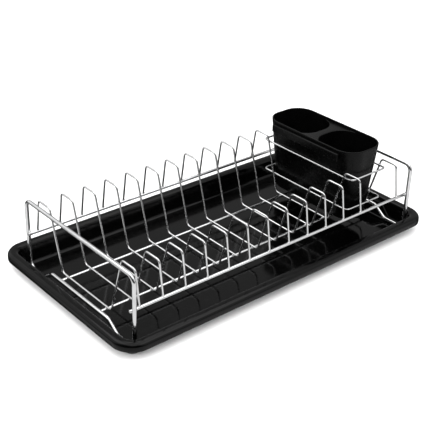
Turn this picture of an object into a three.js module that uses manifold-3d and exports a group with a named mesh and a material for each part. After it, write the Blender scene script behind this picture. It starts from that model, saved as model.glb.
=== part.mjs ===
// Wire dish drying rack standing in a drip tray, with a lift-out cutlery holder.
// Millimetres, +Z up. The origin is the centre of the tray's underside, at bench height.
// X runs along the length with the cutlery holder at the +X end; the front is towards -Y.
import * as THREE from 'three';
import { mergeVertices } from 'three/addons/utils/BufferGeometryUtils.js';
import Module from 'manifold-3d';

// ---------- Driving dimensions ----------

const WELD_GAP = 0.3; // hairline left between wires that touch, and under the feet

const TRAY = {
  length: 467,
  width: 254,
  height: 26,
  cornerRadius: 26,
  wall: 2, // thickness of the moulded wall
  floor: 2.5, // height of the tray's floor surface
  skirtBottom: 16.5, // height of the rim's outer lower edge
  rimRadius: 5, // rounding of the rim's two top edges
  crown: 3.6, // flat top between the two roundings
  floorInset: 18.4, // from the outer face to where the inner wall would meet the floor
  floorFillet: 4,
  baseFillet: 8,
};

const RACK = {
  x: 1.7, // the loose rack stands slightly off the tray's centre
  y: -3.7,
  top: 93.2, // centre line of the dividers' top runs and of the end frames' top bars
};

const END_FRAME = {
  x: 210.25, // centre lines at -x and +x
  diameter: 4.8,
  halfWidth: 103.2, // centre of the legs
  topBend: 9,
  footHalfWidth: 72.5, // where the foot bends up from the tray
  baseHalfWidth: 54.5, // where the raised base run starts
  baseHeight: 17.7,
  footBend: 8,
};

const SIDE_RAIL = { diameter: 3.8, height: 51, overhang: 3 };
const BASE_RAIL = { diameter: 3.2, halfSpacing: 38.5 };

const DIVIDER = {
  diameter: 2.4,
  bottom: 20.2,
  bottomHalfWidth: 47.6,
  innerTopHalfWidth: 69,
  outerTopHalfWidth: 92.4,
  bend: 5,
  pitch: 30,
  firstX: -200.7,
  plateCount: 12, // evenly spaced dividers; one more closes the cutlery bay
  lastX: 195.2,
};

const CAGE = {
  diameter: 2.4,
  x: 162.3, // centre of the cutlery bay
  halfLengthX: 30.5,
  upper: { height: 85.2, halfLengthY: 77.6, corner: 5 },
  lower: { height: 43.7, halfLengthY: 74.5, corner: 5 },
};

const HOLDER = {
  y: 1.8,
  bottom: 19.4,
  top: 117.4,
  halfX: 32.5, // at the rim
  halfY: 76.4,
  corner: 24.5,
  bottomHalfX: 21.9,
  bottomHalfY: 69,
  bottomCorner: 19.5,
  rimRound: 0.7,
  bottomRound: 4,
  wall: 1.8,
  floor: 2.5,
  bridgeDrop: 3.4, // from the rim down to the web between the two compartments
};

// Each compartment's outline. Its outer sides run just past the holder's own inner face.
const WELL = {
  y: 41.5, // centre at the rim
  halfX: 31,
  halfY: 36,
  corner: 25.5,
  bottomY: 35.9,
  bottomHalfX: 20.4,
  bottomHalfY: 31.6,
  bottomCorner: 17.5,
  drainRadius: 2.6,
  drainPitch: 12,
};

const HOOK = {
  drop: 4, // from the rim down to the hook's top
  height: 9.5,
  halfLength: 57,
  slot: 2.4, // clear width between the hook and the wall
  thickness: 1.6,
  root: 1, // how far the hook runs into the wall
};

const WIRE_SIDES = 8; // sides of a wire's section
const BEND_STEPS = 4; // straight pieces in a wire's bend
const CORNER_STEPS = 6; // straight pieces in a moulding's corner
const ROUNDING_STEPS = 4; // straight pieces in the rim's and the base's roundings
const EDGE_STEPS = 3; // straight pieces in a small rounded edge
const CUT_CLEARANCE = 1; // how far a cutting shape runs past the face it opens
const MERGE_TOLERANCE = 1e-3; // points closer than this are one point

// ---------- Materials ----------

const chrome = () => new THREE.MeshStandardMaterial({ color: 0xd6d7d8, roughness: 0.12, metalness: 1 });
const glossBlack = () => new THREE.MeshStandardMaterial({ color: 0x0b0b0c, roughness: 0.12, metalness: 0 });
const satinBlack = () => new THREE.MeshStandardMaterial({ color: 0x101011, roughness: 0.4, metalness: 0 });

// ---------- Wires ----------

// A wire's centre line: straight runs joined by round bends, with a section only where it turns.
class WireLine extends THREE.Curve {
  constructor(corners, bendRadius) {
    super();
    this.points = [];
    this.tangents = [];
    const last = corners.length - 1;
    this.addSection(corners[0], heading(corners[0], corners[1]));
    for (let i = 1; i < last; i++) this.addBend(corners[i - 1], corners[i], corners[i + 1], bendRadius(i));
    this.addSection(corners[last], heading(corners[last - 1], corners[last]));
    this.steps = this.points.length - 1;
  }

  addSection(point, tangent) {
    this.points.push(point.clone());
    this.tangents.push(tangent);
  }

  addBend(before, corner, after, radius) {
    const inward = heading(before, corner);
    const outward = heading(corner, after);
    const turn = inward.angleTo(outward);
    const side = outward.clone().addScaledVector(inward, -outward.dot(inward)).normalize();
    const start = corner.clone().addScaledVector(inward, -radius * Math.tan(turn / 2));
    for (let k = 0; k <= BEND_STEPS; k++) {
      const angle = (turn * k) / BEND_STEPS;
      const point = start.clone().addScaledVector(inward, radius * Math.sin(angle));
      point.addScaledVector(side, radius * (1 - Math.cos(angle)));
      const tangent = inward.clone().multiplyScalar(Math.cos(angle)).addScaledVector(side, Math.sin(angle));
      this.addSection(point, tangent);
    }
  }

  getPointAt(u, target = new THREE.Vector3()) {
    return target.copy(this.points[Math.round(u * this.steps)]);
  }

  getTangentAt(u, target = new THREE.Vector3()) {
    return target.copy(this.tangents[Math.round(u * this.steps)]);
  }
}

function heading(from, to) {
  return to.clone().sub(from).normalize();
}

function wireSection(diameter) {
  const points = [];
  for (let k = 0; k < WIRE_SIDES; k++) {
    const angle = (2 * Math.PI * (k + 0.5)) / WIRE_SIDES;
    points.push(new THREE.Vector2(Math.cos(angle), Math.sin(angle)).multiplyScalar(diameter / 2));
  }
  return new THREE.Shape(points);
}

// A wire with two cut ends.
function openWire(corners, bendRadius, diameter) {
  const line = new WireLine(corners, () => bendRadius);
  return new THREE.ExtrudeGeometry(wireSection(diameter), { steps: line.steps, extrudePath: line });
}

// A wire whose ends are welded to each other: the first and last corner are one point of a straight run.
function closedWire(corners, bendRadius, diameter) {
  const line = new WireLine(corners, bendRadius);
  const swept = new THREE.ExtrudeGeometry(wireSection(diameter), { steps: line.steps, extrudePath: line });
  const skin = swept.groups[1];
  const every = swept.getAttribute('position').array;
  const positions = every.slice(3 * skin.start, 3 * (skin.start + skin.count));
  return new THREE.BufferGeometry().setAttribute('position', new THREE.BufferAttribute(positions, 3));
}

// ---------- Mouldings ----------

// A rounded rectangle in a level plane, anticlockwise from above.
function roundedOutline(halfX, halfY, radius, z, centreY = 0) {
  const points = [];
  for (let quarter = 0; quarter < 4; quarter++) {
    const signX = quarter === 0 || quarter === 3 ? 1 : -1;
    const signY = quarter < 2 ? 1 : -1;
    for (let k = 0; k <= CORNER_STEPS; k++) {
      const angle = (Math.PI / 2) * (quarter + k / CORNER_STEPS);
      const x = signX * (halfX - radius) + radius * Math.cos(angle);
      const y = centreY + signY * (halfY - radius) + radius * Math.sin(angle);
      points.push(new THREE.Vector3(x, y, z));
    }
  }
  return points;
}

// A solid skinned over level outlines that all have the same number of points.
function loft(outlines) {
  const count = outlines[0].length;
  const positions = outlines.flat().flatMap((point) => [point.x, point.y, point.z]);
  const index = [];
  for (let ring = 0; ring + 1 < outlines.length; ring++) {
    for (let k = 0; k < count; k++) {
      const a = ring * count + k;
      const b = ring * count + ((k + 1) % count);
      index.push(a, b, b + count, a, b + count, a + count);
    }
  }
  const lid = THREE.ShapeUtils.triangulateShape(outlines[0].map((p) => new THREE.Vector2(p.x, p.y)), []);
  const top = (outlines.length - 1) * count;
  for (const [a, b, c] of lid) index.push(a, c, b, top + a, top + b, top + c);
  const geometry = new THREE.BufferGeometry();
  geometry.setAttribute('position', new THREE.Float32BufferAttribute(positions, 3));
  geometry.setIndex(index);
  return geometry;
}

// Points along a round stretch of a section, as [inset, height] pairs.
function sectionArc(inset, height, radius, startDegrees, endDegrees, steps) {
  const points = [];
  for (let k = 0; k <= steps; k++) {
    const angle = THREE.MathUtils.degToRad(startDegrees + ((endDegrees - startDegrees) * k) / steps);
    points.push([inset - radius * Math.cos(angle), height + radius * Math.sin(angle)]);
  }
  return points;
}

// ---------- Joins and cuts ----------

const wasm = await Module();
wasm.setup();

function toSolid(geometry) {
  const bare = new THREE.BufferGeometry();
  bare.setAttribute('position', geometry.getAttribute('position'));
  bare.setIndex(geometry.index);
  const merged = mergeVertices(bare, MERGE_TOLERANCE);
  const vertProperties = merged.getAttribute('position').array;
  const triVerts = new Uint32Array(merged.index.array);
  return new wasm.Manifold(new wasm.Mesh({ numProp: 3, vertProperties, triVerts }));
}

function toGeometry(solid) {
  const mesh = solid.getMesh();
  const geometry = new THREE.BufferGeometry();
  geometry.setAttribute('position', new THREE.BufferAttribute(mesh.vertProperties, 3));
  geometry.setIndex(new THREE.BufferAttribute(mesh.triVerts, 1));
  return geometry;
}

// ---------- Drip tray ----------

// One shell, followed from the underside, up the outer wall, over the hollow rim and down to the floor.
function trayGeometry() {
  const t = TRAY;
  const crownEnd = t.rimRadius + t.crown;
  const rimCentre = t.height - t.rimRadius;
  const hollowTop = t.height - t.wall;
  // The inner wall leans: it touches the rim's inner rounding and meets the floor at floorInset.
  const run = t.floorInset - crownEnd;
  const rise = rimCentre - t.floor;
  const lean = Math.acos(t.rimRadius / Math.hypot(run, rise)) - Math.atan2(rise, run);
  const leanDegrees = THREE.MathUtils.radToDeg(lean);
  const innerInset = (height) => t.floorInset - (height - t.floor) * Math.tan(lean);
  const outerInset = (height) => innerInset(height) - t.wall / Math.cos(lean);
  const blend = Math.tan((Math.PI / 2 - lean) / 2); // run of a rounding of radius 1 along a level face
  const baseCentre = outerInset(0) + t.baseFillet * blend;
  const floorCentre = t.floorInset + t.floorFillet * blend;
  const section = [
    ...sectionArc(baseCentre, t.baseFillet, t.baseFillet, -90, -leanDegrees, ROUNDING_STEPS),
    [outerInset(hollowTop), hollowTop],
    [t.wall + t.rimRadius / 2, hollowTop],
    [t.wall, hollowTop - t.rimRadius / 2],
    [t.wall, t.skirtBottom],
    [0, t.skirtBottom],
    ...sectionArc(t.rimRadius, rimCentre, t.rimRadius, 0, 90, ROUNDING_STEPS),
    ...sectionArc(crownEnd, rimCentre, t.rimRadius, 90, 180 - leanDegrees, ROUNDING_STEPS),
    ...sectionArc(floorCentre, t.floor + t.floorFillet, t.floorFillet, -leanDegrees, -90, EDGE_STEPS),
  ];
  return loft(section.map(([inset, z]) =>
    roundedOutline(t.length / 2 - inset, t.width / 2 - inset, t.cornerRadius - inset, z)));
}

// ---------- Rack ----------

// A corner of a bent wire, in the rack's frame.
const at = (x, y, z) => new THREE.Vector3(x, y, z);

// One closed loop across the rack: foot, raised base run, foot, leg, top bar and leg.
function endFrameGeometry(x) {
  const f = END_FRAME;
  const footHeight = TRAY.floor + WELD_GAP + f.diameter / 2;
  const corners = [
    at(x, 0, f.baseHeight),
    at(x, f.baseHalfWidth, f.baseHeight),
    at(x, f.footHalfWidth, footHeight),
    at(x, f.halfWidth, footHeight),
    at(x, f.halfWidth, RACK.top),
    at(x, -f.halfWidth, RACK.top),
    at(x, -f.halfWidth, footHeight),
    at(x, -f.footHalfWidth, footHeight),
    at(x, -f.baseHalfWidth, f.baseHeight),
    at(x, 0, f.baseHeight),
  ];
  const isFootBend = (i) => i < 3 || i > 6;
  return closedWire(corners, (i) => (isFootBend(i) ? f.footBend : f.topBend), f.diameter);
}

// A rail along the rack, welded to the inner side of the end frames' legs.
const sideRailOffset = END_FRAME.halfWidth - (END_FRAME.diameter + SIDE_RAIL.diameter) / 2 - WELD_GAP;

function sideRailGeometry(y) {
  const reach = END_FRAME.x + SIDE_RAIL.overhang;
  return openWire([at(-reach, y, SIDE_RAIL.height), at(reach, y, SIDE_RAIL.height)], 0, SIDE_RAIL.diameter);
}

// A rail under the dividers, butted against the end frames' base runs.
function baseRailGeometry(y) {
  const reach = END_FRAME.x - END_FRAME.diameter / 2 - WELD_GAP;
  const z = DIVIDER.bottom - (DIVIDER.diameter + BASE_RAIL.diameter) / 2 - WELD_GAP;
  return openWire([at(-reach, y, z), at(reach, y, z)], 0, BASE_RAIL.diameter);
}

// One wire from rail to rail: up to a narrow top, down a slant, along the bottom and back up.
function dividerGeometry(x) {
  const d = DIVIDER;
  const legEnd = SIDE_RAIL.height + SIDE_RAIL.diameter / 2 + WELD_GAP;
  const half = [
    at(x, sideRailOffset, legEnd),
    at(x, d.outerTopHalfWidth, RACK.top),
    at(x, d.innerTopHalfWidth, RACK.top),
    at(x, d.bottomHalfWidth, d.bottom),
  ];
  const otherHalf = half.map((corner) => at(x, -corner.y, corner.z)).reverse();
  return openWire([...half, ...otherHalf], d.bend, d.diameter);
}

// A level ring round the cutlery bay, welded between its two dividers.
function cageRingGeometry({ height, halfLengthY, corner }) {
  const left = CAGE.x - CAGE.halfLengthX;
  const right = CAGE.x + CAGE.halfLengthX;
  const corners = [
    at(left, 0, height),
    at(left, -halfLengthY, height),
    at(right, -halfLengthY, height),
    at(right, halfLengthY, height),
    at(left, halfLengthY, height),
    at(left, 0, height),
  ];
  return closedWire(corners, () => corner, CAGE.diameter);
}

// ---------- Cutlery holder ----------

// The holder's outline at a height, moved in from its outer face.
function holderOutline(height, inset) {
  const h = HOLDER;
  const rise = (height - h.bottom) / (h.top - h.bottom);
  const between = (low, high) => THREE.MathUtils.lerp(low, high, rise) - inset;
  return roundedOutline(between(h.bottomHalfX, h.halfX), between(h.bottomHalfY, h.halfY),
    between(h.bottomCorner, h.corner), height);
}

// The holder's outer skin: rounded bottom edge, tapered wall and rounded rim.
function holderShell() {
  const h = HOLDER;
  const depth = h.top - h.bottom;
  const bottomEdge = sectionArc(h.bottomRound, h.bottomRound, h.bottomRound, -90, 0, EDGE_STEPS);
  const rimEdge = sectionArc(h.rimRound, depth - h.rimRound, h.rimRound, 0, 90, EDGE_STEPS);
  return loft([...bottomEdge, ...rimEdge].map(([inset, rise]) => holderOutline(h.bottom + rise, inset)));
}

// Everything inside the wall, and the slice of it above the web between the compartments.
function innerSpace(from) {
  return loft([from, HOLDER.top + CUT_CLEARANCE].map((height) => holderOutline(height, HOLDER.wall)));
}

// One of the two compartments, before the wall bounds it.
function wellSpace(side) {
  const w = WELL;
  const floor = HOLDER.bottom + HOLDER.floor;
  const bottom = roundedOutline(w.bottomHalfX, w.bottomHalfY, w.bottomCorner, floor, side * w.bottomY);
  const rim = roundedOutline(w.halfX, w.halfY, w.corner, HOLDER.top, side * w.y);
  const above = rim.map((point) => point.clone().setZ(HOLDER.top + CUT_CLEARANCE));
  return loft([bottom, rim, above]);
}

// Five drain holes in a cross through a compartment's floor.
function drainHoles(side) {
  const w = WELL;
  const spots = [[0, 0], [1, 0], [-1, 0], [0, 1], [0, -1]];
  const length = HOLDER.floor + 2 * CUT_CLEARANCE;
  const middle = HOLDER.bottom + HOLDER.floor / 2;
  return spots.map(([i, j]) => {
    const hole = new THREE.CylinderGeometry(w.drainRadius, w.drainRadius, length, WIRE_SIDES);
    hole.rotateX(Math.PI / 2);
    return hole.translate(i * w.drainPitch, side * w.bottomY + j * w.drainPitch, middle);
  });
}

// The downturned lip along the side that faces the plates.
function hookGeometry() {
  const k = HOOK;
  const top = HOLDER.top - k.drop;
  const wallX = -THREE.MathUtils.lerp(HOLDER.bottomHalfX, HOLDER.halfX,
    (top - HOLDER.bottom) / (HOLDER.top - HOLDER.bottom));
  const outer = wallX - k.slot - k.thickness;
  const profile = new THREE.Shape([
    new THREE.Vector2(wallX + k.root, top),
    new THREE.Vector2(outer, top),
    new THREE.Vector2(outer, top - k.height),
    new THREE.Vector2(outer + k.thickness, top - k.height),
    new THREE.Vector2(outer + k.thickness, top - k.thickness),
    new THREE.Vector2(wallX + k.root, top - k.thickness),
  ]);
  const lip = new THREE.ExtrudeGeometry(profile, { depth: 2 * k.halfLength, bevelEnabled: false });
  return lip.rotateX(Math.PI / 2).translate(0, k.halfLength, 0);
}

function holderGeometry() {
  const inside = toSolid(innerSpace(HOLDER.bottom + HOLDER.floor));
  let holder = toSolid(holderShell()).add(toSolid(hookGeometry()));
  holder = holder.subtract(toSolid(innerSpace(HOLDER.top - HOLDER.bridgeDrop)));
  for (const side of [-1, 1]) {
    holder = holder.subtract(toSolid(wellSpace(side)).intersect(inside));
    for (const hole of drainHoles(side)) holder = holder.subtract(toSolid(hole));
  }
  return toGeometry(holder);
}

// ---------- Assembly ----------

function addPiece(group, name, geometry, material) {
  const mesh = new THREE.Mesh(geometry, material);
  mesh.name = name;
  group.add(mesh);
}

const dishRack = new THREE.Group();
addPiece(dishRack, 'drip_tray', trayGeometry(), glossBlack());

const rack = new THREE.Group();
rack.position.set(RACK.x, RACK.y, 0);
dishRack.add(rack);
addPiece(rack, 'left_end_frame', endFrameGeometry(-END_FRAME.x), chrome());
addPiece(rack, 'right_end_frame', endFrameGeometry(END_FRAME.x), chrome());
addPiece(rack, 'front_side_rail', sideRailGeometry(-sideRailOffset), chrome());
addPiece(rack, 'back_side_rail', sideRailGeometry(sideRailOffset), chrome());
addPiece(rack, 'front_base_rail', baseRailGeometry(-BASE_RAIL.halfSpacing), chrome());
addPiece(rack, 'back_base_rail', baseRailGeometry(BASE_RAIL.halfSpacing), chrome());
for (let i = 0; i <= DIVIDER.plateCount; i++) {
  const x = i < DIVIDER.plateCount ? DIVIDER.firstX + i * DIVIDER.pitch : DIVIDER.lastX;
  addPiece(rack, 'divider_' + String(i + 1).padStart(2, '0'), dividerGeometry(x), chrome());
}
addPiece(rack, 'upper_cage_ring', cageRingGeometry(CAGE.upper), chrome());
addPiece(rack, 'lower_cage_ring', cageRingGeometry(CAGE.lower), chrome());

const cutleryHolder = new THREE.Group();
cutleryHolder.position.set(CAGE.x, HOLDER.y, 0);
rack.add(cutleryHolder);
addPiece(cutleryHolder, 'cutlery_holder', holderGeometry(), satinBlack());

export default dishRack;
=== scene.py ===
import math

import bmesh
import bpy
from mathutils import Matrix, Vector


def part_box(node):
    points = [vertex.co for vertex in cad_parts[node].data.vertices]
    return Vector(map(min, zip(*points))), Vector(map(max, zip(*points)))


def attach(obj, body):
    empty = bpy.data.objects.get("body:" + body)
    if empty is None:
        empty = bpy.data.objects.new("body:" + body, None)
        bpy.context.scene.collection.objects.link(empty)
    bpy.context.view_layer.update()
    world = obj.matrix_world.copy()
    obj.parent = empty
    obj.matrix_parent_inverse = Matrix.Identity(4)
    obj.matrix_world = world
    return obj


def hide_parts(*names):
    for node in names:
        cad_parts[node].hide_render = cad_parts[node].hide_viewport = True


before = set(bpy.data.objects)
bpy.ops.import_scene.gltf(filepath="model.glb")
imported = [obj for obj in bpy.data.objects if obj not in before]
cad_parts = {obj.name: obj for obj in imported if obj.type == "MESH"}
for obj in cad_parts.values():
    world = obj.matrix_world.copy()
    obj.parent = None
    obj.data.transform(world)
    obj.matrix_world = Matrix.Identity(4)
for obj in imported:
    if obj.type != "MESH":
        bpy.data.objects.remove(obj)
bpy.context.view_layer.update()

MM = 0.001
X, Y, Z = Vector((1, 0, 0)), Vector((0, 1, 0)), Vector((0, 0, 1))
OCTAGON = math.cos(math.pi / 8)  # the CAD wires have eight sides, which narrows their boxes by this

# ---------- Named sizes that a box doesn't give, in millimetres ----------

TRAY = {
    "corner": 26.0, "wall": 2.0, "floor": 2.5, "skirt_bottom": 16.5, "rim_radius": 5.0, "crown": 3.6,
    "floor_inset": 18.4, "floor_fillet": 4.0, "base_fillet": 8.0, "skirt_edge": 0.7,
    "hollow_turn": (0.6, 0.8),  # how far in and down the hollow's inner corner is cut off
}
END_FRAME = {"top_bend": 9.0, "foot_bend": 8.0, "foot_half": 72.5, "base_half": 54.5, "base_height": 17.7}
DIVIDER = {"bottom_half": 47.6, "inner_top_half": 69.0, "outer_top_half": 92.4, "bend": 5.0}
RING_CORNER = 5.0
HOLDER = {
    "half_x": 32.5, "corner": 24.5, "bottom_half_x": 21.9, "bottom_half_y": 69.0, "bottom_corner": 19.5,
    "outer_round": 0.9, "inner_round": 0.7, "bottom_round": 4.0, "inner_bottom_round": 3.0,
    "wall": 1.8, "floor": 2.5, "bridge_drop": 3.4,
}
WELL = {
    "y": 41.5, "half_x": 31.0, "half_y": 36.0, "corner": 25.5, "edge_round": 0.8, "floor_round": 3.0,
    "bottom_y": 35.9, "bottom_half_x": 20.4, "bottom_half_y": 31.6, "bottom_corner": 17.5,
    "drain_radius": 2.6, "drain_pitch": 12.0, "drain_edge": 0.4,
    "drain_spots": ((0, 0), (1, 0), (-1, 0), (0, 1), (0, -1)),
}
HOOK = {
    "drop": 4.0, "height": 9.5, "half_length": 57.0, "slot": 2.4, "thickness": 1.6, "root": 1.0,
    "edge": 0.5, "shoulder": 1.4, "end_bevel": 0.3,
}
BEADS = {  # half lengths of the weld beads, along the directions that each call gives
    "rail_on_frame": (2.3, 2.2, 1.0), "divider_on_rail": (1.9, 1.5, 0.8), "base_on_frame": (1.2, 2.0, 1.8),
    "divider_on_base": (1.7, 1.8, 0.8), "ring_on_divider": (1.7, 1.6, 0.7),
}
CUT_PAST = 1.0  # how far a cutting shape runs past the face it opens

# ---------- How finely the shapes are made ----------

BEND_STEPS = 10  # sections in a wire's bend
WIRE_SIDES = {"frame": 28, "rail": 24, "thin": 20}  # sides of a wire's section
BEAD_SIDES, BEAD_LEVELS = 16, 9
CORNER_STEPS = 24  # points in a moulding's corner
ARC_STEPS = 8  # points in a moulding's rounded edge
SMALL_STEPS = 3  # points in its smallest edges
WIRE_END = 0.35 * MM  # rounding of a cut wire end
WIRE_END_STEPS = 4
SHARP_ANGLE = math.radians(35)  # edges of the holder that turn more than this aren't smoothed
LIP_END_ANGLE = math.radians(60)  # edges of the lip that turn more than this are bevelled


def centre(node):
    low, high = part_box(node)
    return (low + high) / 2


def half(node):
    low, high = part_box(node)
    return (high - low) / 2


# ---------- Camera ----------

# Angles in degrees, the distance in metres, the lens in millimetres.
VIEW = {"azimuth": -40.90, "elevation": 28.76, "roll": 1.73, "distance": 1.228, "lens": 81.5}
VIEW_TARGET = Vector((24.9, 43.5, 20.0)) * MM  # on the tray, a little behind the middle


def make_camera():
    azimuth, elevation, roll = (math.radians(VIEW[k]) for k in ("azimuth", "elevation", "roll"))
    level = Vector((math.cos(azimuth), math.sin(azimuth), 0))
    outward = Vector((math.sin(azimuth), -math.cos(azimuth), 0))
    back = outward * math.cos(elevation) + Z * math.sin(elevation)
    upright = back.cross(level)
    right = level * math.cos(roll) + upright * math.sin(roll)
    up = upright * math.cos(roll) - level * math.sin(roll)
    data = bpy.data.cameras.new("camera")
    data.lens = VIEW["lens"]
    data.clip_start, data.clip_end = 0.05, 100
    camera = bpy.data.objects.new("camera", data)
    turn = Matrix((right, up, back)).transposed().to_4x4()
    camera.matrix_world = Matrix.Translation(VIEW_TARGET + back * VIEW["distance"]) @ turn
    bpy.context.scene.collection.objects.link(camera)
    bpy.context.scene.camera = camera


# ---------- Meshes ----------

class Shape:
    """Points and faces of one piece, gathered before they become a mesh."""

    def __init__(self):
        self.points = []
        self.faces = []

    def add_rings(self, rings, closed):
        """Skins rings of equally many points. A closed run joins its ends, and an open one gets lids."""
        first = len(self.points)
        count = len(rings[0])
        for ring in rings:
            self.points.extend(ring)
        joins = len(rings) if closed else len(rings) - 1
        for i in range(joins):
            here = first + i * count
            there = first + (i + 1) % len(rings) * count
            for k in range(count):
                n = (k + 1) % count
                self.faces.append((here + k, here + n, there + n, there + k))
        if not closed:
            last = first + (len(rings) - 1) * count
            self.faces.append(tuple(range(first + count - 1, first - 1, -1)))
            self.faces.append(tuple(range(last, last + count)))

    def mesh(self, name):
        mesh = bpy.data.meshes.new(name)
        mesh.from_pydata([tuple(p) for p in self.points], [], self.faces)
        made = bmesh.new()
        made.from_mesh(mesh)
        bmesh.ops.recalc_face_normals(made, faces=made.faces)
        made.to_mesh(mesh)
        made.free()
        mesh.shade_smooth()
        return mesh


def add_object(name, mesh):
    piece = bpy.data.objects.new(name, mesh)
    bpy.context.scene.collection.objects.link(piece)
    return piece


def finish_piece(piece, material, body, nodes):
    piece.data.materials.append(material)
    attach(piece, body)
    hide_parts(*nodes)


# ---------- Wires ----------

def bent_line(corners, radii, closed):
    """Centre line of a bent wire as (point, heading) pairs. radii has one bend for each corner."""
    count = len(corners)
    line = []
    for i, corner in enumerate(corners):
        before, after = corners[i - 1], corners[(i + 1) % count]
        if not closed and i in (0, count - 1):
            heading = (after - corner if i == 0 else corner - before).normalized()
            line.append((corner, heading))
            continue
        inward = (corner - before).normalized()
        outward = (after - corner).normalized()
        turn = inward.angle(outward)
        side = (outward - inward * outward.dot(inward)).normalized()
        start = corner - inward * radii[i] * math.tan(turn / 2)
        for k in range(BEND_STEPS + 1):
            angle = turn * k / BEND_STEPS
            point = start + inward * radii[i] * math.sin(angle) + side * radii[i] * (1 - math.cos(angle))
            line.append((point, inward * math.cos(angle) + side * math.sin(angle)))
    return line


def add_wire(shape, line, radius, plane, closed=False, kind="thin"):
    """Sweeps a round section along a flat centre line. plane is the normal of the wire's plane."""
    turns = [2 * math.pi * k / WIRE_SIDES[kind] for k in range(WIRE_SIDES[kind])]

    def ring(point, heading, size):
        across = plane.cross(heading).normalized()
        return [point + (across * math.cos(t) + plane * math.sin(t)) * size for t in turns]

    rings = []
    if not closed:
        start, heading = line[0]
        end, last_heading = line[-1]
        angles = [math.pi / 2 * k / WIRE_END_STEPS for k in range(WIRE_END_STEPS, 0, -1)]
        rounding = [(WIRE_END * (1 - math.sin(a)), radius - WIRE_END * (1 - math.cos(a))) for a in angles]
        rings += [ring(start + heading * back, heading, size) for back, size in rounding]
        first = (start + heading * WIRE_END, heading)
        last = (end - last_heading * WIRE_END, last_heading)
        line = [first, *line[1:-1], last]
    rings += [ring(point, heading, radius) for point, heading in line]
    if not closed:
        rings += [ring(end - last_heading * back, last_heading, size) for back, size in reversed(rounding)]
    shape.add_rings(rings, closed)


def add_bead(shape, middle, joint, *axes):
    """A weld bead: a small ellipsoid where two wires touch. axes are the directions of its half lengths."""
    long_axis, cross_axis, rise = (axis * size * MM for axis, size in zip(axes, BEADS[joint]))
    turns = [2 * math.pi * k / BEAD_SIDES for k in range(BEAD_SIDES)]
    rings = []
    for j in range(BEAD_LEVELS):
        tilt = math.pi * (j + 0.5) / BEAD_LEVELS - math.pi / 2
        level = middle + rise * math.sin(tilt)
        spread = math.cos(tilt)
        rings.append([level + (long_axis * math.cos(t) + cross_axis * math.sin(t)) * spread for t in turns])
    shape.add_rings(rings, closed=False)


def straight(start, end):
    """Centre line of a straight wire."""
    return bent_line([start, end], [0, 0], False)


# The rack's own measures, from the boxes of its wires.
rack_middle = (centre("left_end_frame") + centre("right_end_frame")) / 2
frame_radius = half("left_end_frame").x / OCTAGON
leg_half = half("left_end_frame").y - half("left_end_frame").x
frame_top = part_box("left_end_frame")[1].z - half("left_end_frame").x
foot_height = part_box("left_end_frame")[0].z + half("left_end_frame").x
side_radius = half("front_side_rail").y / OCTAGON
side_height = centre("front_side_rail").z
side_half = centre("back_side_rail").y - rack_middle.y
base_radius = half("front_base_rail").y / OCTAGON
base_height = centre("front_base_rail").z
base_half = centre("back_base_rail").y - rack_middle.y
divider_radius = half("divider_01").x / OCTAGON
divider_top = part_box("divider_01")[1].z - half("divider_01").x
divider_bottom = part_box("divider_01")[0].z + half("divider_01").x
dividers = sorted(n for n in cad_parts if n.startswith("divider_"))


def across(x, y, z):
    """A point in an upright plane across the rack, from the rack's middle line."""
    return Vector((x, rack_middle.y + y, z))


def make_end_frame(node):
    x = centre(node).x
    foot_half, lift_half = END_FRAME["foot_half"] * MM, END_FRAME["base_half"] * MM
    lift = END_FRAME["base_height"] * MM
    one_side = [(lift_half, lift), (foot_half, foot_height), (leg_half, foot_height), (leg_half, frame_top)]
    corners = [across(x, y, z) for y, z in one_side]
    corners += [across(x, -y, z) for y, z in reversed(one_side)]
    top, foot = END_FRAME["top_bend"] * MM, END_FRAME["foot_bend"] * MM
    radii = [foot, foot, top, top, top, top, foot, foot]
    shape = Shape()
    add_wire(shape, bent_line(corners, radii, True), frame_radius, X, closed=True, kind="frame")
    return shape


def make_side_rail(node):
    low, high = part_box(node)
    y = (low.y + high.y) / 2
    side = math.copysign(1, y - rack_middle.y)
    line = straight(Vector((low.x, y, side_height)), Vector((high.x, y, side_height)))
    shape = Shape()
    add_wire(shape, line, side_radius, Z, kind="rail")
    for end in ("left_end_frame", "right_end_frame"):
        touch = Vector((centre(end).x, y + side * side_radius, side_height))
        add_bead(shape, touch, "rail_on_frame", X, Z, Y)
    for name in dividers:
        foot = Vector((centre(name).x, y, side_height + side_radius))
        add_bead(shape, foot, "divider_on_rail", X, Y, Z)
    return shape


def make_base_rail(node):
    low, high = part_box(node)
    y = (low.y + high.y) / 2
    reach = 0.5 * MM  # the ends run into the end frames' welds
    ends = [Vector((low.x - reach, y, base_height)), Vector((high.x + reach, y, base_height))]
    shape = Shape()
    add_wire(shape, straight(*ends), base_radius, Z)
    for end in ends:
        add_bead(shape, end, "base_on_frame", X, Y, Z)
    for name in dividers:
        touch = Vector((centre(name).x, y, base_height + base_radius))
        add_bead(shape, touch, "divider_on_base", X, Y, Z)
    return shape


def make_divider(node):
    x = centre(node).x
    sunk = 0.4 * MM  # the leg melts this far into the rail
    one_side = [
        (side_half, side_height + side_radius - sunk),
        (DIVIDER["outer_top_half"] * MM, divider_top),
        (DIVIDER["inner_top_half"] * MM, divider_top),
        (DIVIDER["bottom_half"] * MM, divider_bottom),
    ]
    corners = [across(x, y, z) for y, z in one_side] + [across(x, -y, z) for y, z in reversed(one_side)]
    shape = Shape()
    add_wire(shape, bent_line(corners, [DIVIDER["bend"] * MM] * len(corners), False), divider_radius, X)
    return shape


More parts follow.
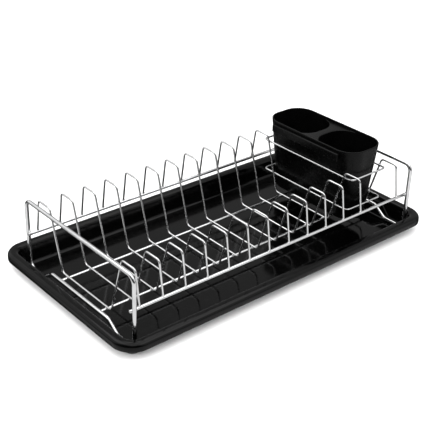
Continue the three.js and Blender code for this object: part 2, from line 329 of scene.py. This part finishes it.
def make_cage_ring(node):
    middle, reach = centre(node), half(node)
    flat = reach.z
    half_x, half_y = reach.x - flat, reach.y - flat
    signs = ((-1, -1), (1, -1), (1, 1), (-1, 1))
    corners = [middle + X * (sx * half_x) + Y * (sy * half_y) for sx, sy in signs]
    radii = [RING_CORNER * MM] * len(corners)
    shape = Shape()
    add_wire(shape, bent_line(corners, radii, True), flat / OCTAGON, Z, closed=True)
    # The ring is welded to the slants of the two dividers beside it.
    rise = (middle.z - divider_bottom) / (divider_top - divider_bottom)
    slant = (DIVIDER["bottom_half"] + (DIVIDER["inner_top_half"] - DIVIDER["bottom_half"]) * rise) * MM
    for name in dividers[-2:]:
        touch_x = (centre(name).x + middle.x + math.copysign(half_x, centre(name).x - middle.x)) / 2
        for side in (-1, 1):
            touch = Vector((touch_x, rack_middle.y + side * slant, middle.z))
            add_bead(shape, touch, "ring_on_divider", Y, Z, X)
    return shape


# ---------- Mouldings ----------

def rounded_outline(middle, half_x, half_y, radius, z):
    points = []
    for quarter, (sx, sy) in enumerate(((1, 1), (-1, 1), (-1, -1), (1, -1))):
        for k in range(CORNER_STEPS + 1):
            angle = math.pi / 2 * (quarter + k / CORNER_STEPS)
            x = sx * (half_x - radius) + radius * math.cos(angle)
            y = sy * (half_y - radius) + radius * math.sin(angle)
            points.append(Vector((middle.x + x, middle.y + y, z)))
    return points


def section_arc(inset, height, radius, start, end, steps=ARC_STEPS):
    """(inset, height) pairs along a round stretch of a section. Angles in degrees: 0 faces out, 90 up."""
    angles = [math.radians(start + (end - start) * k / steps) for k in range(steps + 1)]
    return [(inset - radius * math.cos(a), height + radius * math.sin(a)) for a in angles]


def tray_section():
    """The tray's section as (inset, height): from the underside, round the rim, to the floor. In mm."""
    t = TRAY
    height = 2 * half("drip_tray").z / MM
    crown_end = t["rim_radius"] + t["crown"]
    rim_centre = height - t["rim_radius"]
    hollow_top = height - t["wall"]
    run = t["floor_inset"] - crown_end
    rise = rim_centre - t["floor"]
    lean = math.acos(t["rim_radius"] / math.hypot(run, rise)) - math.atan2(rise, run)
    degrees = math.degrees(lean)

    def outer_inset(z):
        return t["floor_inset"] - (z - t["floor"]) * math.tan(lean) - t["wall"] / math.cos(lean)

    blend = math.tan((math.pi / 2 - lean) / 2)
    base_centre = outer_inset(0) + t["base_fillet"] * blend
    floor_centre = t["floor_inset"] + t["floor_fillet"] * blend
    hollow_round = t["rim_radius"] - t["wall"]
    turn_in, turn_down = t["hollow_turn"]
    edge = t["skirt_edge"]
    flat_run = 1  # the underside and the floor start level
    return [
        (base_centre + flat_run, 0),
        *section_arc(base_centre, t["base_fillet"], t["base_fillet"], -90, -degrees),
        (outer_inset(hollow_top - turn_down), hollow_top - turn_down),
        (outer_inset(hollow_top) - turn_in, hollow_top),
        *section_arc(t["wall"] + hollow_round, hollow_top - hollow_round, hollow_round, 90, 0),
        (t["wall"], t["skirt_bottom"] + edge),
        *section_arc(t["wall"] - edge, t["skirt_bottom"] + edge, edge, 180, 270, SMALL_STEPS),
        *section_arc(edge, t["skirt_bottom"] + edge, edge, -90, 0, SMALL_STEPS),
        *section_arc(t["rim_radius"], rim_centre, t["rim_radius"], 0, 90),
        *section_arc(crown_end, rim_centre, t["rim_radius"], 90, 180 - degrees),
        *section_arc(floor_centre, t["floor"] + t["floor_fillet"], t["floor_fillet"], -degrees, -90),
        (floor_centre + flat_run, t["floor"]),
    ]


def make_tray():
    middle, reach = centre("drip_tray"), half("drip_tray")
    sizes = (reach.x, reach.y, TRAY["corner"] * MM)
    rings = [rounded_outline(middle, *(size - inset * MM for size in sizes), z * MM)
             for inset, z in tray_section()]
    shape = Shape()
    shape.add_rings(rings, closed=False)
    return shape


def holder_frame():
    """Middle of the holder's underside, and its depth. The lip makes its box longer on one side only."""
    low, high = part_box("cutlery_holder")
    return Vector((high.x - HOLDER["half_x"] * MM, (low.y + high.y) / 2, low.z)), high.z - low.z


def lofted(name, rings):
    shape = Shape()
    shape.add_rings(rings, closed=False)
    return add_object(name, shape.mesh(name))


def holder_outline(height, inset):
    """The holder's outline at a height above its underside, moved in from its outer face. All in mm."""
    h = HOLDER
    foot, depth = holder_frame()
    share = height * MM / depth
    sizes = [low + (high - low) * share - inset for low, high in (
        (h["bottom_half_x"], h["half_x"]), (h["bottom_half_y"], half("cutlery_holder").y / MM),
        (h["bottom_corner"], h["corner"]))]
    return rounded_outline(foot, *(size * MM for size in sizes), foot.z + height * MM)


def holder_shell():
    h = HOLDER
    deep = holder_frame()[1] / MM
    stations = section_arc(h["bottom_round"], h["bottom_round"], h["bottom_round"], -90, 0)
    stations += section_arc(h["outer_round"], deep - h["outer_round"], h["outer_round"], 0, 90)
    return lofted("holder_shell", [holder_outline(height, inset) for inset, height in stations])


def flare(radius, top):
    """(inset, height) pairs of a cut that rounds over the edge it opens at."""
    turns = [math.pi / 2 * k / ARC_STEPS for k in range(ARC_STEPS + 1)]
    return [(radius * (math.cos(t) - 1), top - radius + radius * math.sin(t)) for t in turns]


def inner_space():
    """Everything inside the holder's wall, opening over the rim's rounded inner edge."""
    h = HOLDER
    deep = holder_frame()[1] / MM
    r = h["inner_bottom_round"]
    stations = [(h["wall"] + inset, h["floor"] + height) for inset, height in section_arc(r, r, r, -90, 0)]
    stations += [(h["wall"] + inset, height) for inset, height in flare(h["inner_round"], deep)]
    stations += [(h["wall"] - h["inner_round"], deep + 2 * CUT_PAST)]
    return lofted("inner_space", [holder_outline(height, inset) for inset, height in stations])


def well_cutter(side):
    """One compartment, before the wall bounds it, rounded at its floor and at the bridge's edge."""
    w = WELL
    foot, depth = holder_frame()
    floor, top = HOLDER["floor"], depth / MM
    bridge = top - HOLDER["bridge_drop"]
    r = w["floor_round"]
    stations = [(inset, floor + height) for inset, height in section_arc(r, r, r, -90, 0)]
    stations += flare(w["edge_round"], bridge) + [(-w["edge_round"], bridge + CUT_PAST)]

    def at_height(name, height):
        """A size of the compartment at a height, between its values at the floor and at the top."""
        low, high = w["bottom_" + name], w[name]
        return low + (high - low) * (height - floor) / (top - floor)

    rings = []
    for inset, height in stations:
        middle = foot + Y * side * at_height("y", height) * MM
        sizes = ((at_height(name, height) - inset) * MM for name in ("half_x", "half_y", "corner"))
        rings.append(rounded_outline(middle, *sizes, foot.z + height * MM))
    return lofted("cutlery_well", rings)


def bridge_cutter():
    """The slice above the sunk bridge between the two compartments."""
    foot, depth = holder_frame()
    bottom = foot.z + depth - HOLDER["bridge_drop"] * MM
    reach = 100 * MM  # past the holder on every side
    rings = [rounded_outline(foot, reach, reach, reach / 2, z) for z in (bottom, bottom + reach)]
    return lofted("bridge_space", rings)


def drain_cutter(side, i, j):
    foot, _ = holder_frame()
    middle = foot + (X * i + Y * j) * WELL["drain_pitch"] * MM + Y * side * WELL["bottom_y"] * MM
    radius, floor, soft = WELL["drain_radius"], HOLDER["floor"], WELL["drain_edge"]
    stations = [(radius + soft, -CUT_PAST), (radius + soft, 0), (radius, soft), (radius, floor - soft),
                (radius + soft, floor), (radius + soft, floor + CUT_PAST)]
    rings = [rounded_outline(middle, r * MM, r * MM, r * MM, foot.z + z * MM) for r, z in stations]
    return lofted("drain_hole", rings)


def rounded_profile(corners, radii):
    """A flat outline of (x, z) corners, each rounded."""
    line = bent_line([Vector((x, 0, z)) for x, z in corners], radii, True)
    return [point for point, _ in line]


def lip_solid():
    """The downturned lip along the side that faces the plates."""
    k = HOOK
    foot, depth = holder_frame()
    deep = depth / MM
    top = deep - k["drop"]
    wall = -(HOLDER["bottom_half_x"] + (HOLDER["half_x"] - HOLDER["bottom_half_x"]) * top / deep)
    outer = wall - k["slot"] - k["thickness"]
    corners = [(wall + k["root"], top), (outer, top), (outer, top - k["height"]),
               (outer + k["thickness"], top - k["height"]), (outer + k["thickness"], top - k["thickness"]),
               (wall + k["root"], top - k["thickness"])]
    profile = rounded_profile(corners, [k["edge"], k["shoulder"]] + [k["edge"]] * 4)
    rings = [[foot + p * MM + Y * end * k["half_length"] * MM for p in profile] for end in (-1, 1)]
    lip = lofted("holder_lip", rings)
    bevel = lip.modifiers.new("ends", "BEVEL")
    bevel.width = k["end_bevel"] * MM
    bevel.segments = SMALL_STEPS
    bevel.limit_method = "ANGLE"
    bevel.angle_limit = LIP_END_ANGLE
    bake_modifiers(lip)
    return lip


def bake_modifiers(piece):
    bpy.context.view_layer.update()
    mesh = bpy.data.meshes.new_from_object(piece.evaluated_get(bpy.context.evaluated_depsgraph_get()))
    piece.modifiers.clear()
    piece.data = mesh


def cut(piece, tool, operation):
    modifier = piece.modifiers.new(operation, "BOOLEAN")
    modifier.operation = operation
    modifier.solver = "EXACT"
    modifier.object = tool
    bake_modifiers(piece)
    bpy.data.objects.remove(tool)


def make_holder():
    space = bridge_cutter()
    for side in (-1, 1):
        cut(space, well_cutter(side), "UNION")
    cut(space, inner_space(), "INTERSECT")
    holder = holder_shell()
    cut(holder, lip_solid(), "UNION")
    cut(holder, space, "DIFFERENCE")
    for side in (-1, 1):
        for i, j in WELL["drain_spots"]:
            cut(holder, drain_cutter(side, i, j), "DIFFERENCE")
    holder.name = holder.data.name = "cutlery_holder_moulding"
    holder.data.shade_smooth()
    holder.data.set_sharp_from_angle(angle=SHARP_ANGLE)
    return holder


# ---------- Materials ----------

NOISE_RANGE = (0.3, 0.7)  # the part of a noise's range that a varied socket uses
TINT_RANGE = (0.35, 0.65)  # the same for a colour


def new_material(name, **constants):
    material = bpy.data.materials.new(name)
    material.use_nodes = True
    shader = material.node_tree.nodes["Principled BSDF"]
    for socket, value in constants.items():
        shader.inputs[socket.replace("_", " ")].default_value = value
    return material


def object_noise(material, scale, detail=3.0):
    nodes, links = material.node_tree.nodes, material.node_tree.links
    place = nodes.new("ShaderNodeTexCoord")
    noise = nodes.new("ShaderNodeTexNoise")
    noise.inputs["Scale"].default_value = scale
    noise.inputs["Detail"].default_value = detail
    links.new(place.outputs["Object"], noise.inputs["Vector"])
    return noise.outputs["Fac"]


def vary(material, socket, source, low, high):
    """Varies a shader socket between two values with a texture."""
    nodes, links = material.node_tree.nodes, material.node_tree.links
    spread = nodes.new("ShaderNodeMapRange")
    spread.inputs["From Min"].default_value, spread.inputs["From Max"].default_value = NOISE_RANGE
    spread.inputs["To Min"].default_value = low
    spread.inputs["To Max"].default_value = high
    links.new(source, spread.inputs["Value"])
    links.new(spread.outputs["Result"], nodes["Principled BSDF"].inputs[socket])


def tint(material, source, dark, light):
    """Varies the base colour between two colours with a texture."""
    nodes, links = material.node_tree.nodes, material.node_tree.links
    ramp = nodes.new("ShaderNodeValToRGB")
    for element, position, colour in zip(ramp.color_ramp.elements, TINT_RANGE, (dark, light)):
        element.position = position
        element.color = (*colour, 1)
    links.new(source, ramp.inputs["Fac"])
    links.new(ramp.outputs["Color"], nodes["Principled BSDF"].inputs["Base Color"])


def emboss(material, *layers):
    """Stacks bump layers, each (height source, distance in metres, strength)."""
    nodes, links = material.node_tree.nodes, material.node_tree.links
    below = None
    for source, distance, strength in layers:
        bump = nodes.new("ShaderNodeBump")
        bump.inputs["Distance"].default_value = distance
        bump.inputs["Strength"].default_value = strength
        links.new(source, bump.inputs["Height"])
        if below is not None:
            links.new(below, bump.inputs["Normal"])
        below = bump.outputs["Normal"]
    links.new(below, nodes["Principled BSDF"].inputs["Normal"])


def chrome_material():
    chrome = new_material("bright_chrome", Metallic=1.0)
    patches = object_noise(chrome, scale=90)
    smears = object_noise(chrome, scale=260)
    ripple = object_noise(chrome, scale=900, detail=2.0)
    tint(chrome, patches, dark=(0.80, 0.805, 0.81), light=(0.88, 0.88, 0.885))
    vary(chrome, "Roughness", smears, low=0.11, high=0.19)
    emboss(chrome, (ripple, 0.004 * MM, 0.3))
    return chrome


def tray_material():
    plastic = new_material("gloss_black_plastic", IOR=1.3)
    patches = object_noise(plastic, scale=30)
    smears = object_noise(plastic, scale=120)
    waves = object_noise(plastic, scale=14, detail=1.0)
    peel = object_noise(plastic, scale=420, detail=2.0)
    tint(plastic, patches, dark=(0.0004, 0.0004, 0.0004), light=(0.0007, 0.0007, 0.0007))
    vary(plastic, "Roughness", smears, low=0.07, high=0.14)
    emboss(plastic, (waves, 0.4 * MM, 0.15), (peel, 0.02 * MM, 0.3))
    return plastic


def holder_material():
    plastic = new_material("satin_black_plastic", IOR=1.25)
    patches = object_noise(plastic, scale=45)
    smears = object_noise(plastic, scale=160)
    grain = object_noise(plastic, scale=1600, detail=2.0)
    tint(plastic, patches, dark=(0.0004, 0.0004, 0.0004), light=(0.0008, 0.0008, 0.0008))
    vary(plastic, "Roughness", smears, low=0.24, high=0.32)
    emboss(plastic, (grain, 0.04 * MM, 0.35))
    return plastic


# ---------- Studio ----------

FLOOR_HALF = 20.0
LIGHT_AIM = Vector((0, 0, 0.05))
LIGHTS = (  # name, place, size, watts, whether the object mirrors it
    ("overhead_softbox", (0.0, 0.0, 1.70), (2.5, 3.1), 31, True),
    ("table_light", (-1.90, -2.20, 3.45), (2.6, 2.6), 215, False),
    ("left_fill", (-1.70, 0.10, 0.80), (1.5, 1.5), 30, False),
    ("front_fill", (0.40, -1.70, 0.80), (1.5, 1.5), 22, False),
)
# What polished surfaces mirror above the horizon: a backdrop that is lightest along one heading,
# as (share of the way round to it, grey), and two broad reflectors.
BACKDROP = {"heading": (0.50, 0.58, 0.64), "stops": ((0.40, 0.03), (0.65, 0.16), (0.95, 0.40))}
REFLECTORS = (  # (heading, cosines where it starts and where it is full, grey)
    ((-0.38, 0.66, 0.65), 0.74, 0.85, 0.90),
    ((0.55, -0.58, 0.60), 0.78, 0.90, 0.85),
)
# What they mirror of the table: light towards the camera, dark away from it.
TABLE_SHADE = {"heading": (0.6, 0.8, 0.0), "start": 0.15, "end": 0.35, "light": 0.85, "dark": 0.08}
HORIZON = (0.0, -0.1)  # heights of a direction where the backdrop starts and ends turning into table


def make_floor():
    size = FLOOR_HALF
    corners = [(-size, -size, 0), (size, -size, 0), (size, size, 0), (-size, size, 0)]
    mesh = bpy.data.meshes.new("studio_floor")
    mesh.from_pydata(corners, [], [(0, 1, 2, 3)])
    floor = add_object("studio_floor", mesh)
    paper = new_material("pale_paper", Roughness=0.9)
    tint(paper, object_noise(paper, scale=3), dark=(0.80, 0.80, 0.80), light=(0.82, 0.82, 0.82))
    mesh.materials.append(paper)
    floor.visible_glossy = False  # polished surfaces mirror the world's table instead


def make_area_light(name, place, size, power, mirrored):
    data = bpy.data.lights.new(name, "AREA")
    data.shape = "RECTANGLE"
    data.size, data.size_y = size
    data.energy = power
    lamp = bpy.data.objects.new(name, data)
    lamp.location = place
    lamp.rotation_mode = "QUATERNION"
    lamp.rotation_quaternion = (Vector(place) - LIGHT_AIM).to_track_quat("Z", "Y")
    lamp.visible_glossy = mirrored
    bpy.context.scene.collection.objects.link(lamp)


def make_world():
    """The room that polished surfaces mirror, above and below the horizon."""
    world = bpy.data.worlds.new("studio")
    bpy.context.scene.world = world
    world.use_nodes = True
    nodes, links = world.node_tree.nodes, world.node_tree.links
    place = nodes.new("ShaderNodeTexCoord")

    def facing(heading):
        dot = nodes.new("ShaderNodeVectorMath")
        dot.operation = "DOT_PRODUCT"
        dot.inputs[1].default_value = Vector(heading).normalized()
        links.new(place.outputs["Generated"], dot.inputs[0])
        return dot.outputs["Value"]

    def spread(source, start, end, low=0.0, high=1.0):
        ranged = nodes.new("ShaderNodeMapRange")
        for socket, value in (("From Min", start), ("From Max", end), ("To Min", low), ("To Max", high)):
            ranged.inputs[socket].default_value = value
        links.new(source, ranged.inputs["Value"])
        return ranged.outputs["Result"]

    def combine(operation, first, second):
        maths = nodes.new("ShaderNodeMath")
        maths.operation = operation
        links.new(first, maths.inputs[0])
        links.new(second, maths.inputs[1])
        return maths.outputs["Value"]

    backdrop = nodes.new("ShaderNodeValToRGB")
    elements = backdrop.color_ramp.elements
    for position, _ in BACKDROP["stops"][len(elements):]:
        elements.new(position)
    for element, (position, grey) in zip(elements, BACKDROP["stops"]):
        element.position = position
        element.color = (grey, grey, grey, 1)
    links.new(spread(facing(BACKDROP["heading"]), -1, 1), backdrop.inputs["Fac"])
    above = backdrop.outputs["Color"]
    for heading, start, end, grey in REFLECTORS:
        above = combine("MAXIMUM", above, spread(facing(heading), start, end, 0.0, grey))
    t = TABLE_SHADE
    below = spread(facing(t["heading"]), t["start"], t["end"], t["light"], t["dark"])
    both = nodes.new("ShaderNodeMixRGB")
    links.new(spread(facing(Z), *HORIZON), both.inputs["Fac"])
    links.new(above, both.inputs["Color1"])
    links.new(below, both.inputs["Color2"])
    links.new(both.outputs["Color"], nodes["Background"].inputs["Color"])


# ---------- Making everything ----------

make_camera()
bpy.context.scene.view_settings.view_transform = "Standard"
make_world()
make_floor()
for light in LIGHTS:
    make_area_light(*light)

chrome = chrome_material()
wires = {"left_end_frame": make_end_frame, "right_end_frame": make_end_frame}
wires.update({n: make_side_rail for n in ("front_side_rail", "back_side_rail")})
wires.update({n: make_base_rail for n in ("front_base_rail", "back_base_rail")})
wires.update({n: make_divider for n in dividers})
wires.update({n: make_cage_ring for n in ("upper_cage_ring", "lower_cage_ring")})
for node, maker in wires.items():
    name = node + "_wire"
    finish_piece(add_object(name, maker(node).mesh(name)), chrome, "rack", [node])

tray = add_object("drip_tray_moulding", make_tray().mesh("drip_tray_moulding"))
finish_piece(tray, tray_material(), "tray", ["drip_tray"])
finish_piece(make_holder(), holder_material(), "cutlery_holder", ["cutlery_holder"])
